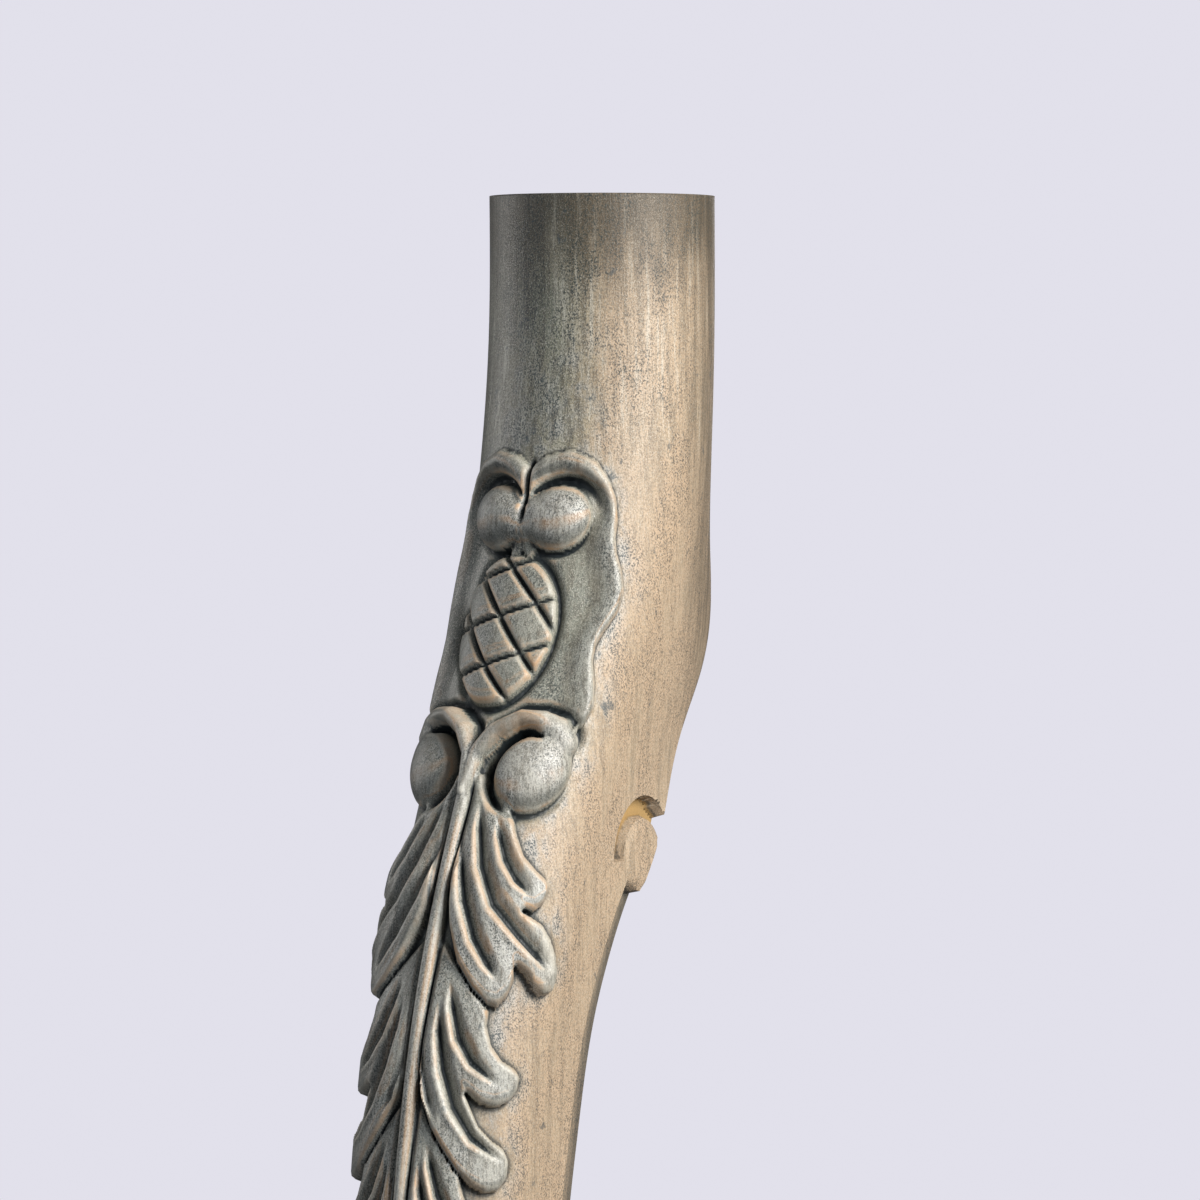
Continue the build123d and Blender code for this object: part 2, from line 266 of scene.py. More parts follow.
def path_distance(u, v, path):
    """Distance to a path, how far along it (0 to 1), its half width there and the side.

    The side is 1 on the path's outer and upper side and -1 on the other.
    """
    best = np.full(u.shape, np.inf)
    along = np.zeros(u.shape)
    wide = np.ones(u.shape)
    side = np.zeros(u.shape)
    lengths = [math.dist(start[:2], end[:2]) for start, end in zip(path, path[1:])]
    gone = 0.0
    for start, end, long in zip(path, path[1:], lengths):
        d, t = to_segment(u, v, start, end)
        turn = (end[0] - start[0]) * (v - start[1]) - (end[1] - start[1]) * (u - start[0])
        closer = d < best
        best = np.where(closer, d, best)
        along = np.where(closer, (gone + t * long) / sum(lengths), along)
        wide = np.where(closer, start[2] + t * (end[2] - start[2]), wide)
        side = np.where(closer, np.where(turn > 0, -1.0, 1.0), side)
        gone += long
    return best, along, wide, side


def inside_outline(u, v, outline):
    """Distance to a closed outline, positive within it and negative outside."""
    distance = np.full(u.shape, np.inf)
    within = np.zeros(u.shape, bool)
    for start, end in zip(outline, outline[1:] + outline[:1]):
        distance = np.minimum(distance, to_segment(u, v, start, end)[0])
        (ax, ay), (bx, by) = start[:2], end[:2]
        if ay != by:
            within ^= ((ay > v) != (by > v)) & (u < ax + (v - ay) / (by - ay) * (bx - ax))
    return np.where(within, distance, -distance)


def leaf_height(u, v, outline, flutes, proud):
    """Height of one half leaf: a rounded plate with a gouged flute down each lobe."""
    within = inside_outline(u, v, outline)
    drops = [p[1] for p in outline]
    share = np.clip((v - min(drops)) / (max(drops) - min(drops)), 0, 1)
    plate = proud * (0.42 + 0.58 * ramp(share, 0.0, 0.55))
    edge = dome(1 - np.clip(within / LEAF_ROUND, 0, 1), 0.7)
    height = plate * edge
    for flute in flutes:
        distance, _, wide, side = path_distance(u, v, flute)
        reach = distance / (wide * np.where(side > 0, GENTLE_SIDE, STEEP_SIDE))
        gouge = (1 - ramp(reach, 0.0, 1.0)) * ramp(wide, 0.5, 2.0) * np.clip(wide / 2.4, 0, 1.1)
        crest = bell(distance, wide * 0.95, 0.8) * (side < 0) * ramp(wide, 0.9, 2.2)
        height = height + FLUTE_CREST * crest - FLUTE_DEEP * gouge
    return np.where(within > 0, np.maximum(height, LEAF_LEAST), 0) * ramp(within, 0.0, 0.25)


def with_leaves(h, u, v):
    """The height with the leaves, each overlapping the one below it."""
    for outline, flutes, *change, proud in LEAVES:
        paths = [flat_path(path, *change) for path in flutes]
        leaf = leaf_height(u, v, flat_path(outline, *change), paths, proud)
        h = np.where(leaf > 0, leaf, h)
    return h


def with_midrib(h, u, v):
    """The height with the midrib and a thin groove beside it."""
    rib_high = MIDRIB_PROUD * between(v, (168, 184), (380, 436))
    share = u / np.interp(v, *zip(*MIDRIB))
    h = h - 1.3 * bell(share, 1.25, 0.22) * between(v, (178, 190), (380, 430))
    rib = np.maximum(h * ramp(share, 0.9, 1.15), rib_high * dome(share))
    return np.where(share < 1.15, rib, h)


def with_field(h, u, v):
    """The height with the wavy rim and the hollow field inside it, which rises to the rim."""
    rim = flat_path(RIM)
    distance, _, wide, _ = path_distance(u, v, rim)
    # closed past the knee line, so that no point of the grid lies on the outline
    closed = [(-1.0, rim[0][1])] + rim + [(-1.0, rim[-1][1])]
    field = 1 - ramp(v, 160, 168)
    slope = RIM_PROUD * np.exp(-(distance / 4.6) ** 1.5) - 1.2 * ramp(distance, 2, 8)
    outside = np.maximum(h, RIM_PROUD * dome(distance / wide))
    return np.where(inside_outline(u, v, closed) > 0, slope * field + h * (1 - field), outside)


def with_pineapple(h, side, v):
    """The height with the pineapple in its oval groove, cut across both ways."""
    pu = side - PINEAPPLE_AT[0]
    pv = v - PINEAPPLE_AT[1]
    share = np.hypot(pu / PINEAPPLE_HALF[0], pv / PINEAPPLE_HALF[1])
    # the oval groove fades out between the two upper scrolls
    faded = 1 - 0.85 * bell(side, 0, 4.5) * (1 - ramp(v, 111, 117))
    h = h - 2.0 * bell(share, 1.05, 0.075) * faded
    wave = 0.6 * np.sin(pv / 8.0)
    steep = np.abs(((pu * 0.722 - pv * 0.692 + wave - 1.9) / 10.6) % 1 - 0.5) * 2
    level = np.abs(((pu * 0.341 + pv * 0.94 + wave * 0.6 - 10.1) / 14.0) % 1 - 0.5) * 2
    cuts = np.maximum(ramp(steep, 0.74, 0.98), ramp(level, 0.83, 0.985))
    body = 2.9 * dome(share / 1.1) - 0.9
    pillow = body - 1.9 * cuts + 0.5 * (1 - np.maximum(steep, level) ** 2)
    inner = 1 - ramp(share, 0.93, 1.04)
    return h * (1 - inner) + np.maximum(pillow, -2.4) * inner


def with_upper_scroll(h, u, v):
    """The height with an upper scroll: an eye grows out of the band under a hooked groove."""
    eye_u = u - float(arc_across(*UPPER_EYE))
    eye_v = (UPPER_EYE[1] + 0.4 - v) * 1.05
    rho = np.hypot(eye_u, eye_v)
    angle = np.degrees(np.arctan2(eye_v, eye_u))
    sweep = ramp(150 - angle, 0, 110)
    hook = bell(rho, 11.5 + 1.8 * sweep, 0.6 + 1.5 * sweep)
    h = h - 3.2 * hook * ramp(150 - angle, 0, 20) * ramp(angle, -30, 45)
    inward = np.clip(ramp(angle, 135, 165) + ramp(-angle, 120, 160), 0, 1)
    collar = 4.2 * ramp(15 - rho, 0, 4) * inward
    h = np.where(collar > 0, np.maximum(h, collar), h)
    near = rho * (1 - 0.28 * inward)
    ball = 6.6 * dome(near / UPPER_BALL, 0.6) - BALL_SUNK
    h = np.where(near < UPPER_BALL, np.maximum(h, ball), h)
    h = h - 0.9 * bell(rho, 11.6, 0.9) * ramp(-angle, 20, 60) * ramp(150 + angle, 0, 30)
    # the crease between the two scrolls
    return h - 2.6 * bell(u, 0, 0.9) * between(v, (80, 86), (98, 105))


def with_lower_scroll(h, u, v):
    """The height with a lower scroll: a stem runs over the eye, with a comma cut between."""
    distance, along, wide, _ = path_distance(u, v, flat_path(STEM))
    stem = (5.4 - 0.6 * ramp(along, 0.6, 1.0)) * dome(distance / (wide + 0.6), 0.75)
    h = np.where(stem > 0, np.maximum(h, stem), h)
    eye_u = u - float(arc_across(*LOWER_EYE))
    eye_v = LOWER_EYE[1] - v
    rho = np.hypot(eye_u, eye_v)
    angle = np.degrees(np.arctan2(eye_v, eye_u)) % 360
    # a groove along the stem's upper side
    above = bell(distance, wide + 1.7, 1.2) * (rho > 13) * between(angle, (15, 45), (135, 160))
    h = h - 2.2 * above
    near = rho / (1 + 0.12 * between(angle, (10, 60), (84, 104)))
    ball = 7.4 * dome(near / LOWER_BALL, 0.6) - BALL_SUNK
    h = np.where(near < LOWER_BALL, np.maximum(h, ball), h)
    sweep = ramp(angle, 84, 112)
    comma = bell(rho, 10.0 + 2.7 * sweep, 0.35 + 1.05 * sweep)
    h = h - 4.6 * comma * between(angle, (80, 90), (215, 250))
    # a shallow groove under the eye
    return h - 0.9 * bell(rho, 13.2, 1.0) * between(angle, (200, 250), (320, 350))


def carving(side, v):
    """Height of the carving over the plain leg, side across from the knee line and v down."""
    u = np.abs(side)
    h = np.zeros(u.shape)
    h = with_leaves(h, u, v)
    h = with_midrib(h, u, v)
    h = with_field(h, u, v)
    h = with_pineapple(h, side, v)
    h = with_upper_scroll(h, u, v)
    return with_lower_scroll(h, u, v)


def side_cut(q, drop, rear):
    """Depth cut into the side faces: a round eye in its moat and a rebate down the rear edge."""
    rho = np.hypot(q - EYE_OUT, drop - EYE_DROP)
    moat = (rho < MOAT_RADIUS - 0.01) & (drop < EYE_DROP)
    rebate = (q - rear < REBATE_WIDE - 0.3) & (drop > EYE_DROP) & (drop < REBATE_END[1])
    depth = CUT_DEEP * (moat | rebate) * (1 - ramp(drop, *REBATE_END))
    eye = rho < EYE_RADIUS + 0.01
    return np.where(eye, 0.8 * ramp(rho, 8.0, EYE_RADIUS), depth)


def snap_to_eye(base, across, down):
    """Move the points beside the eye and its moat onto their circles, along the surface."""
    q = base[:, :, 1] - EYE_OUT
    drop = -base[:, :, 2] - EYE_DROP
    rho = np.hypot(q, drop)
    wanted = np.where(np.abs(rho - EYE_RADIUS) < SNAP_REACH, EYE_RADIUS, rho)
    on_moat = (np.abs(rho - MOAT_RADIUS) < SNAP_REACH) & (drop < 1)
    grow = np.where(on_moat, MOAT_RADIUS, wanted) / np.maximum(rho, 1e-6) - 1
    sink = drop * grow / -down[:, :, 2]
    slide = (q * grow - sink * down[:, :, 1]) / np.minimum(across[:, :, 1], -0.2)
    moved = base + across * slide[:, :, None] + down * sink[:, :, None]
    return np.where((grow != 0)[:, :, None], moved, base)


def leg_grid():
    """Positions of every point of the leg, row by row, and the height carved on at each."""
    half, bulge, outer, rear, rear_half = (
        smooth_line(line, DROPS)[:, None] for line in (HALF, BULGE, FRONT, REAR, REAR_HALF)
    )
    ridge = np.interp(DROPS, *zip(*RIDGE))[:, None]
    centre = outer - bulge
    front = len(TURNS)
    t = np.radians(TURNS)[None, :]
    bend = centre + SIDE_BEND * (rear - centre)
    # two close columns follow the edge of the rebate, REBATE_WIDE from the end of the side's curve
    lead = 2 * SIDE_BEND
    share = 1 - REBATE_WIDE / (centre - rear)
    edge = (lead - np.sqrt(lead ** 2 - 4 * (lead - 1) * share)) / (2 * (lead - 1))
    foot = edge + REBATE_GAP / (centre - rear)
    s = np.hstack((edge * FLANK_STEPS, foot + (1 - foot) * REBATE_STEPS))
    a_side = (1 - s) ** 2 * half + 2 * s * (1 - s) * half + s ** 2 * rear_half
    q_side = (1 - s) ** 2 * centre + 2 * s * (1 - s) * bend + s ** 2 * rear
    a_base = np.hstack((half * np.sin(t), a_side))
    q_base = np.hstack((centre + bulge * np.cos(t), q_side))
    z_base = np.repeat(-DROPS[:, None], a_base.shape[1], axis=1)
    base = np.stack((a_base, q_base, z_base), axis=2)
    # normals of the plain surface, turned outwards
    down = np.gradient(base, axis=0)
    across = np.gradient(base, axis=1)
    normal = np.cross(across, down)
    normal /= np.linalg.norm(normal, axis=2, keepdims=True)
    normal *= np.sign(normal[:, 5:6, 1:2])
    normal[:, 0, 0] = 0
    base[:, front:] = snap_to_eye(base[:, front:], across[:, front:], down[:, front:])
    q_base, z_base = base[:, :, 1], base[:, :, 2]
    u = arc_across(TURNS[None, :], DROPS[:, None])
    v = np.repeat(DROPS[:, None], u.shape[1], axis=1)
    cut = side_cut(q_base, -z_base, rear)
    cut[:, :front] *= ramp(TURNS[None, :], 80, 90)
    middle = np.stack((np.zeros_like(rear), rear - ridge, z_base[:, :1]), axis=2)
    halves = []
    for side in (-1, 1):
        height = -cut
        height[:, :front] += carving(side * u, v) * (1 - ramp(TURNS[None, :], 78, 88))
        shaped = base + normal * height[:, :, None]
        # plain rear faces from the rear corner to the middle
        step = REAR_STEPS[None, :, None]
        points = np.concatenate((shaped, shaped[:, -1:, :] * (1 - step) + middle * step), axis=1)
        points[:, :, 0] *= side
        halves.append((points, np.hstack((height, np.zeros((len(DROPS), len(REAR_STEPS)))))))
    (left, left_height), (right, right_height) = halves
    whole = np.concatenate((left[:, :0:-1, :], right), axis=1)
    return whole, np.hstack((left_height[:, :0:-1], right_height))


def blur(field, rows, columns):
    """A box blur, twice over, of a field on the grid."""
    for axis, reach in ((0, rows), (1, columns)) * 2:
        count = field.shape[axis]
        span = 2 * reach + 1
        first, last = np.take(field, [0], axis), np.take(field, [-1], axis)
        padded = np.concatenate([first] * reach + [field] + [last] * reach, axis)
        sums = np.cumsum(padded, axis=axis)
        sums = np.concatenate((np.zeros_like(first), sums), axis)
        high = np.take(sums, range(span, span + count), axis)
        low = np.take(sums, range(count), axis)
        field = (high - low) / span
    return field


def make_leg():
    """The carved leg as one mesh, from a grid laid round its sections."""
    points, height = leg_grid()
    rows, columns = height.shape
    bpy.ops.mesh.primitive_grid_add(x_subdivisions=columns - 1, y_subdivisions=rows - 1, size=1)
    leg = bpy.context.object
    leg.name = "carved_leg"
    leg.data.name = "carved_leg"
    # turned so that the leg's square corner points to +X +Y, and held inside the CAD's box
    a, q, z = points[:, :, 0], points[:, :, 1], points[:, :, 2]
    placed = np.stack(((a - q) * math.sqrt(0.5), (-a - q) * math.sqrt(0.5), z), axis=2) / 1000
    placed = np.clip(placed, CAD_BOX[0], CAD_BOX[1])
    leg.data.vertices.foreach_set("co", placed.reshape(-1).astype(np.float32))
    # what the paint follows: the height, its hollows and edges, and where there is carving; the hollows
    # and the lower sides also place painted shade
    touched = (np.abs(height) > CARVED_FROM) * 1.0
    sides = columns // 2 - (len(TURNS) - 1)
    touched[:, :sides] = 0
    touched[:, columns - sides:] = 0
    fields = {
        "relief": height,
        "hollow": blur(height, 2, 2) - height,
        "shaded": blur(height, 7, 7) - height,
        "edge": height - blur(height, 1, 1),
        "carved": blur(touched, 2, 2),
        "nearby": blur(touched, 9, 7),
        "fall": (height - np.roll(height, (-4, -2), (0, 1))) * np.clip(height / 2.5, 0, 1),
    }
    for name, field in fields.items():
        layer = leg.data.attributes.new(name, "FLOAT", "POINT")
        layer.data.foreach_set("value", field.reshape(-1).astype(np.float32))
    bpy.ops.object.mode_set(mode="EDIT")
    bpy.ops.mesh.select_all(action="SELECT")
    bpy.ops.mesh.remove_doubles(threshold=1e-6)
    bpy.ops.mesh.select_all(action="SELECT")
    bpy.ops.mesh.fill_holes(sides=0)
    bpy.ops.mesh.select_all(action="SELECT")
    bpy.ops.mesh.normals_make_consistent(inside=False)
    bpy.ops.object.mode_set(mode="OBJECT")
    return leg


def box_cutter(name, low, high):
    """A plain box between two corners, for a boolean cut."""
    bpy.ops.mesh.primitive_cube_add(size=1)
    cutter = bpy.context.object
    cutter.name = name
    cutter.scale = [high[i] - low[i] for i in range(3)]
    cutter.location = [(high[i] + low[i]) / 2 for i in range(3)]
    bpy.ops.object.transform_apply(location=True, rotation=True, scale=True)
    return cutter


def cut_away(piece, cutter):
    """Cut cutter out of piece and drop the cutter."""
    bpy.context.view_layer.objects.active = piece
    modifier = piece.modifiers.new("mortise", "BOOLEAN")
    modifier.operation = "DIFFERENCE"
    modifier.solver = "EXACT"
    modifier.object = cutter
    bpy.ops.object.modifier_apply(modifier=modifier.name)
    bpy.data.objects.remove(cutter, do_unlink=True)


class Value:
    """A number socket in a node tree, joined to others by plain arithmetic."""

    def __init__(self, graph, socket):
        self.graph = graph
        self.socket = socket

    def __add__(self, other):
        return self.graph.maths("ADD", self, other)

    def __radd__(self, other):
        return self.graph.maths("ADD", other, self)

    def __sub__(self, other):
        return self.graph.maths("SUBTRACT", self, other)

    def __rsub__(self, other):
        return self.graph.maths("SUBTRACT", other, self)

    def __mul__(self, other):
        return self.graph.maths("MULTIPLY", self, other)

    def __rmul__(self, other):
        return self.graph.maths("MULTIPLY", other, self)

    def clamp(self):
        """This value held between 0 and 1."""
        node = self.graph.node("ShaderNodeClamp", {"Value": self})
        return Value(self.graph, node.outputs["Result"])

    def ramp(self, low, high):
        """0 at low, 1 at high and smooth between."""
        sockets = {"Value": self, "From Min": low, "From Max": high}
        node = self.graph.node("ShaderNodeMapRange", sockets, interpolation_type="SMOOTHSTEP")
        return Value(self.graph, node.outputs["Result"])


class Graph:
    """The node tree of a material or a world, built up in words."""

    def __init__(self, owner):
        owner.use_nodes = True
        self.tree = owner.node_tree
        self.tree.nodes.clear()

    def node(self, kind, sockets=(), **settings):
        """A new node with its settings made and its sockets fed, by name or by number."""
        made = self.tree.nodes.new(kind)
        for key, value in settings.items():
            setattr(made, key, value)
        for key, value in dict(sockets).items():
            self.join(value, made.inputs[key])
        return made

    def join(self, value, socket):
        """Feed a socket from a value, another socket, a number, a vector or a colour."""
        if isinstance(value, Value):
            value = value.socket
        if isinstance(value, bpy.types.NodeSocket):
            self.tree.links.new(value, socket)
        elif socket.type == "RGBA":
            socket.default_value = (*value, 1.0)
        else:
            socket.default_value = value

    def maths(self, operation, *values):
        """Values joined by one operation."""
        node = self.node("ShaderNodeMath", enumerate(values), operation=operation)
        return Value(self, node.outputs[0])

    def place(self, scale):
        """Object coordinates, scaled."""
        place = self.node("ShaderNodeTexCoord").outputs["Object"]
        return self.node("ShaderNodeMapping", {"Vector": place, "Scale": scale}).outputs["Vector"]

    def noise(self, along_grain, scale, detail, rough):
        """A noise between 0 and 1, drawn out along the grain where along_grain is under 1."""
        where = self.place((1, 1, along_grain))
        sockets = {"Vector": where, "Scale": scale, "Detail": detail, "Roughness": rough}
        return Value(self, self.node("ShaderNodeTexNoise", sockets).outputs["Fac"])

    def attribute(self, name):
        """A field laid on the mesh by make_leg."""
        return Value(self, self.node("ShaderNodeAttribute", attribute_name=name).outputs["Fac"])

    def mix(self, factor, first, second):
        """Two colours mixed by a factor."""
        node = self.node("ShaderNodeMix", {"Factor": factor}, data_type="RGBA")
        for colour, socket in zip((first, second), [s for s in node.inputs if s.type == "RGBA"]):
            self.join(colour, socket)
        return [s for s in node.outputs if s.type == "RGBA"][0]


# The paint's noises (broad, patch, streak, grain, stipple, fleck and spot): scale along the
# grain as a share of the scale across it, then that scale, detail and roughness.
NOISES = (
    (1, 34, 5, 0.62),
    (0.4, 95, 5, 0.65),
    (0.05, 420, 4, 0.6),
    (0.12, 1500, 4, 0.62),
    (0.75, 2150, 3, 0.7),
    (0.8, 2700, 3, 0.66),
    (0.7, 160, 4, 0.7),
)
DIAGONAL = 0.7071
BUMP_STRENGTH = 0.5
BUMP_HEIGHT = 0.0004


def paint_material(settings):
    """Worn grey-green paint over tan wood, rubbed and given pale paint with painted highlights on the
    crests, with dirt and painted shade in the hollows and painted shade under the top, beside the joints
    and on the left.
    """
    material = bpy.data.materials.new("painted_wood")
    g = Graph(material)
    relief, hollow, shaded, edge, nearby, fall = (
        g.attribute(name) for name in ("relief", "hollow", "shaded", "edge", "nearby", "fall")
    )
    carved = g.attribute("carved").clamp()
    split = g.node("ShaderNodeSeparateXYZ", {0: g.place((1, 1, 1))})
    x, y, z = (Value(g, split.outputs[i]) for i in range(3))
    broad, patch, streak, grain, stipple, fleck, spot = (g.noise(*noise) for noise in NOISES)
    post = z.ramp(-0.09, -0.07)
    # the right flank of the leg is rubbed to tan and the front stays painted; the left side, turned away
    # from the light, is darker with patina and painted shade
    across = (x - y) * DIAGONAL + (broad - 0.5) * 0.02
    rubbed = (across.ramp(0.006, 0.022) + (0 - across).ramp(0.022, 0.038) * 0.25) * (1 - carved)
    tan = rubbed * (0.82 + patch.ramp(0.36, 0.6) * 0.18)
    colour = g.mix(broad.ramp(0.35, 0.65), settings.paint, settings.paint_cool)
    tall = (relief + broad * 2 - 1).ramp(-0.8, 6.5)
    shaped = g.mix(tall, settings.carved_low, settings.carved)
    colour = g.mix(carved * (0.75 + patch.ramp(0.4, 0.6) * 0.2), colour, shaped)
    colour = g.mix(tan, colour, settings.tan)
    halo = nearby.ramp(0.04, 0.4) * (1 - carved) * (patch * 0.5 + spot * 0.5).ramp(0.44, 0.56)
    colour = g.mix(halo * 0.75, colour, settings.carved)
    # patina and painted shade: the left side, turned away from the light, darkened with the patina
    # colour
    colour = g.mix((0 - across).ramp(-0.014, 0.03) * 0.6, colour, settings.patina_and_shade)
    # painted shade of the table top and the aprons: the colour is darkened at the top of the post and
    # beside the joints
    above = (z + (patch - 0.5) * 0.04).ramp(-0.045, -0.004)
    colour = g.mix(above * 0.85, colour, settings.shade)
    joint_shade = (x.ramp(0.014, 0.036) + y.ramp(0.014, 0.036)).clamp() * z.ramp(-0.21, -0.12)
    colour = g.mix(joint_shade * (0.55 + streak.ramp(0.4, 0.6) * 0.25), colour, settings.shade)
    # grain, stipple and flecks
    keep = 1 - tan * 0.5
    calm = (1 - joint_shade * 0.75) * (1 - above * 0.6)
    colour = g.mix(patch.ramp(0.54, 0.7) * 0.26 * post * keep, colour, settings.patina_and_shade)
    colour = g.mix(streak.ramp(0.48, 0.62) * (0.4 + post * 0.2) * keep, colour, settings.grain)
    colour = g.mix((1 - streak).ramp(0.54, 0.66) * 0.45 * post * calm, colour, settings.crest)
    colour = g.mix(grain.ramp(0.5, 0.62) * 0.5 * keep, colour, settings.grain)
    flecked = fleck.ramp(0.52, 0.61) * (0.5 + post * 0.12) * keep * calm
    colour = g.mix(flecked, colour, settings.crest)
    dotted = stipple.ramp(0.49, 0.58) * (0.36 + patch.ramp(0.42, 0.6) * 0.5 + post * 0.14)
    colour = g.mix(dotted * (1 - tan * 0.15), colour, settings.patina_and_shade)
    colour = g.mix(spot.ramp(0.64, 0.7) * 0.6, colour, settings.spot)
    # dark scribbles on the plain wood beside the carving
    scribble = stipple.ramp(0.46, 0.54) * (spot * 0.6 + patch * 0.4).ramp(0.5, 0.6) * (1 - carved)
    colour = g.mix(scribble * nearby.ramp(0.01, 0.3) * 0.75, colour, settings.spot)
    # rubbed crests with pale paint and painted highlights, worn wood, painted shade on the lower sides,
    # raw wood in the moats, then dirt and painted shade in the hollows
    # pale paint and painted highlight on the sharp crests of the carving
    crest = edge.ramp(0.08, 0.4) * carved
    colour = g.mix(crest * 0.4, colour, settings.crest)
    crescent = fall.ramp(0.5, 1.1) * (1 - fall.ramp(1.2, 2.4))
    worn = edge.ramp(0.12, 0.4) * 0.6 + crescent * 0.5
    worn = worn.clamp() * (patch * 0.6 + broad * 0.4).ramp(0.42, 0.55)
    colour = g.mix(worn * across.ramp(-0.04, 0.01) * carved * 0.75, colour, settings.wood)
    # painted shade: the steep lower sides of the carving darkened with the patina colour
    colour = g.mix(fall.ramp(1.6, 4.2) * 0.42 * carved, colour, settings.patina_and_shade)
    raw = (0 - relief).ramp(2.8, 3.9) * z.ramp(-0.208, -0.2) * (1 - carved)
    colour = g.mix(raw * 0.9, colour, settings.raw)
    # painted shade: the broad hollows darkened with the patina colour, except in the moats
    broad_shade = shaded.ramp(0.4, 3.4) * 0.6 * (1 - raw)
    colour = g.mix(broad_shade, colour, settings.patina_and_shade)
    # dirt and painted shade: the hollows and sharp creases darkened
    dirt_and_shade = (hollow.ramp(0.25, 1.3) * 0.9 + (0 - edge).ramp(0.14, 0.6) * 0.5).clamp()
    dirt_and_shade = dirt_and_shade * (1 - raw * 0.8)
    colour = g.mix(dirt_and_shade * (0.5 + carved * 0.5), colour, settings.dirt_and_shade)
    # the sawn top is duller than the paint
    end = z.ramp(-0.0006, -0.0002)
    rough = 0.28 + stipple.ramp(0.4, 0.6) * 0.14 + dirt_and_shade * 0.2 + tan * 0.14 + end * 0.4
    height = grain * 0.5 + stipple * 0.5 + streak * 0.4 + fleck * 0.3
    sockets = {"Height": height, "Strength": BUMP_STRENGTH, "Distance": BUMP_HEIGHT}
    normal = g.node("ShaderNodeBump", sockets).outputs["Normal"]
    sockets = {"Base Color": colour, "Roughness": rough, "Normal": normal}
    shader = g.node("ShaderNodeBsdfPrincipled", sockets)
    g.node("ShaderNodeOutputMaterial", {"Surface": shader.outputs["BSDF"]})
    return material


def colour_property(name, description, default):
    """A colour that can be set in the sidebar."""
    return bpy.props.FloatVectorProperty(
        name=name, description=description, default=default, size=3, min=0, max=1, subtype="COLOR"
    )


class LegSettings(bpy.types.PropertyGroup):
    """Sizes and colours of the leg."""

    mortise_wide: bpy.props.FloatProperty(
        name="Mortise width", description="Width of each mortise", default=0.008, unit="LENGTH")
    mortise_tall: bpy.props.FloatProperty(
        name="Mortise height", description="Height of each mortise", default=0.090, unit="LENGTH")
    mortise_deep: bpy.props.FloatProperty(
        name="Mortise depth", description="Depth of each mortise", default=0.018, unit="LENGTH")
    paint: colour_property("Paint", "Warm grey-brown paint", (0.4, 0.365, 0.26))
    paint_cool: colour_property("Cool paint", "Green-grey paint", (0.235, 0.24, 0.175))
    carved: colour_property("High carving", "Pale paint of the high carving", (0.52, 0.51, 0.48))
    carved_low: colour_property(
        "Low carving", "Green-grey paint of the low carving", (0.25, 0.26, 0.225))
    tan: colour_property("Tan", "Tan wood of the rubbed sides", (0.49, 0.355, 0.235))
    # patina colour, used both for real patina and for painted shade
    patina_and_shade: colour_property("Patina", "Blue-green patina", (0.034, 0.043, 0.04))
    # painted shade under the table top and beside the joints
    shade: colour_property("Shade", "Painted shade under the table top and beside the joints", (0.07, 0.052, 0.032))
    grain: colour_property("Grain", "Dark lines of the grain", (0.08, 0.065, 0.045))
    spot: colour_property("Spots", "Blue-grey spots", (0.035, 0.055, 0.065))
    wood: colour_property("Wood", "Orange wood on worn crests", (0.55, 0.31, 0.14))
    raw: colour_property("Raw wood", "Golden wood in the moats", (0.4, 0.25, 0.09))
    # pale paint on flecks and streaks, also used as painted highlight on the crests
    crest: colour_property("Crest", "Pale paint and painted highlight on the crests", (0.66, 0.63, 0.54))
    # dark colour of the hollows and creases: dirt and painted shade
    dirt_and_shade: colour_property("Dirt", "Dark dirt in the hollows", (0.014, 0.02, 0.022))


class StageSettings(bpy.types.PropertyGroup):
    """The plain background, the camera and the light."""

    backdrop: colour_property("Backdrop", "Colour seen behind the leg", (0.76, 0.75, 0.83))
    distance: bpy.props.FloatProperty(
        name="Distance", description="Camera to post axis", default=1.6, unit="LENGTH")
    eye: bpy.props.FloatProperty(
        name="Eye", description="Camera height below the leg's top", default=0.0516, unit="LENGTH")
    lens: bpy.props.FloatProperty(
        name="Lens", description="Focal length in millimetres", default=151.68)


# The joints with the aprons, in metres: the flat faces and where each mortise starts.
JOINT_FACE = 0.0355
MORTISE_LEFT = 0.005
MORTISE_TOP = -0.025
MORTISE_OVERCUT = 0.004
SMOOTH_BELOW = math.radians(50)


class LEG_OT_carved(bpy.types.Operator):
    """Add the carved leg"""

    bl_idname = "table_leg.carved"
    bl_label = "Carved leg"

    def execute(self, context):
        settings = context.scene.table_leg
        leg = make_leg()
        near = JOINT_FACE - settings.mortise_deep
        far = JOINT_FACE + MORTISE_OVERCUT
        left, right = MORTISE_LEFT, MORTISE_LEFT + settings.mortise_wide
        low, high = MORTISE_TOP - settings.mortise_tall, MORTISE_TOP
        cut_away(leg, box_cutter("front_mortise", (near, left, low), (far, right, high)))
        cut_away(leg, box_cutter("side_mortise", (left, near, low), (right, far, high)))
        bpy.context.view_layer.objects.active = leg
        bpy.ops.object.select_all(action="DESELECT")
        leg.select_set(True)
        bpy.ops.object.shade_smooth_by_angle(angle=SMOOTH_BELOW)
        leg.data.materials.clear()
        leg.data.materials.append(paint_material(settings))
        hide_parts("leg")
        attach(leg, "root")
        print("triangles", sum(len(p.vertices) - 2 for p in leg.data.polygons))
        return {"FINISHED"}


# The view of the photo: the camera's heading, the picture's width and how far the horizon
# lies above its middle, both in pixels, and the sensor's width in millimetres.
HEADING = math.radians(14)
PICTURE = 1200
HORIZON_UP = 240
SENSOR = 36
NEAR_CLIP = 0.05
CAMERA_LEFT = 0.0006
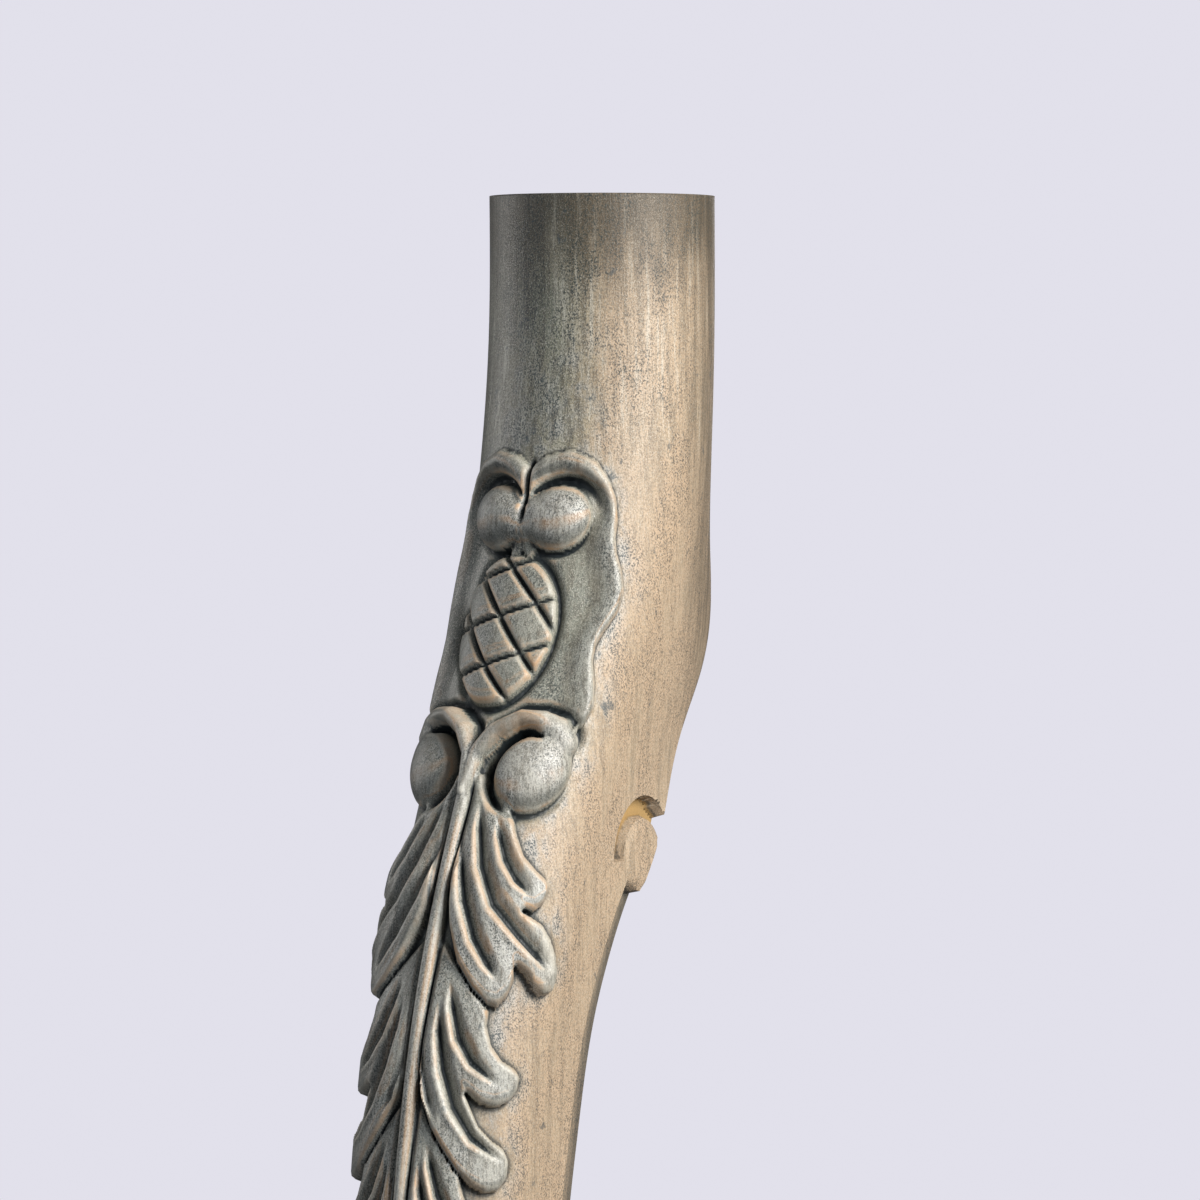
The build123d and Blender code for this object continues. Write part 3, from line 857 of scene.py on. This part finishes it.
# The lights: name, width, height, place, power in watts and tint.
LIGHTS = (
    ("key", 0.5, 1.1, (1.1, -1.3, 0.75), 52, (1.0, 0.96, 0.9)),
    ("window", 0.25, 0.8, (0.8, -1.9, 0.5), 20, (0.9, 0.95, 1.0)),
    ("fill", 0.8, 1.2, (-1.5, -0.6, 0.2), 2.2, (0.8, 0.9, 1.0)),
    ("back", 1.0, 1.2, (0.7, 1.8, 0.5), 11, (1.0, 1.0, 1.0)),
    ("side", 1.0, 1.2, (-1.6, 1.2, 0.4), 13, (1.0, 0.98, 0.94)),
)
LIT_POINT = (-0.03, -0.03, -0.15)
GLOW_COLOUR = (0.86, 0.9, 1.0)
GLOW_STRENGTH = 0.14


class LEG_OT_stage(bpy.types.Operator):
    """Add the background, the camera and the light"""

    bl_idname = "table_leg.stage"
    bl_label = "Stage"

    def execute(self, context):
        settings = context.scene.table_leg_stage
        scene = context.scene
        world = bpy.data.worlds.new("plain")
        scene.world = world
        g = Graph(world)
        camera_ray = g.node("ShaderNodeLightPath").outputs["Is Camera Ray"]
        seen = g.node("ShaderNodeBackground", {"Color": settings.backdrop}).outputs[0]
        sockets = {"Color": GLOW_COLOUR, "Strength": GLOW_STRENGTH}
        glow = g.node("ShaderNodeBackground", sockets).outputs[0]
        mix = g.node("ShaderNodeMixShader", {0: camera_ray, 1: glow, 2: seen})
        g.node("ShaderNodeOutputWorld", {"Surface": mix.outputs[0]})
        along = Vector((math.sin(HEADING), math.cos(HEADING), 0))
        right = Vector((math.cos(HEADING), -math.sin(HEADING), 0))
        pitch = math.atan2(HORIZON_UP, settings.lens / SENSOR * PICTURE)
        bpy.ops.object.camera_add(location=(0, 0, 0))
        camera = context.object
        camera.name = "camera"
        camera.data.lens = settings.lens
        camera.data.sensor_width = SENSOR
        camera.data.clip_start = NEAR_CLIP
        look = along * math.cos(pitch) - Vector((0, 0, math.sin(pitch)))
        up = right.cross(look)
        rotation = Matrix((right, up, -look)).transposed().to_4x4()
        place = -along * settings.distance - right * CAMERA_LEFT
        place.z = -settings.eye
        camera.matrix_world = Matrix.Translation(place) @ rotation
        scene.camera = camera
        for name, wide, tall, where, power, tint in LIGHTS:
            bpy.ops.object.light_add(type="AREA", location=where)
            light = context.object
            light.name = name
            light.data.shape = "RECTANGLE"
            light.data.size = wide
            light.data.size_y = tall
            light.data.energy = power
            light.data.color = tint
            aim = Vector(LIT_POINT) - Vector(where)
            light.rotation_euler = aim.to_track_quat("-Z", "Y").to_euler()
        scene.view_settings.view_transform = "Standard"
        return {"FINISHED"}


class LEG_PT_panel(bpy.types.Panel):
    """The leg's tools in the sidebar"""

    bl_idname = "LEG_PT_panel"
    bl_label = "Table Leg"
    bl_space_type = "VIEW_3D"
    bl_region_type = "UI"
    bl_category = "Table Leg"

    def draw(self, context):
        column = self.layout.column()
        for name in LegSettings.__annotations__:
            column.prop(context.scene.table_leg, name)
        column.operator(LEG_OT_carved.bl_idname)
        for name in StageSettings.__annotations__:
            column.prop(context.scene.table_leg_stage, name)
        column.operator(LEG_OT_stage.bl_idname)


CLASSES = (LegSettings, StageSettings, LEG_OT_carved, LEG_OT_stage, LEG_PT_panel)


def register():
    """Make the settings, the operators and the panel known."""
    for cls in CLASSES:
        bpy.utils.register_class(cls)
    bpy.types.Scene.table_leg = bpy.props.PointerProperty(type=LegSettings)
    bpy.types.Scene.table_leg_stage = bpy.props.PointerProperty(type=StageSettings)


def unregister():
    """Take them away again."""
    del bpy.types.Scene.table_leg_stage
    del bpy.types.Scene.table_leg
    for cls in reversed(CLASSES):
        bpy.utils.unregister_class(cls)


def main():
    """Build the leg and its stage."""
    register()
    bpy.ops.table_leg.carved()
    bpy.ops.table_leg.stage()
    print("cad", CAD_BOX)


if __name__ == "__main__":
    main()
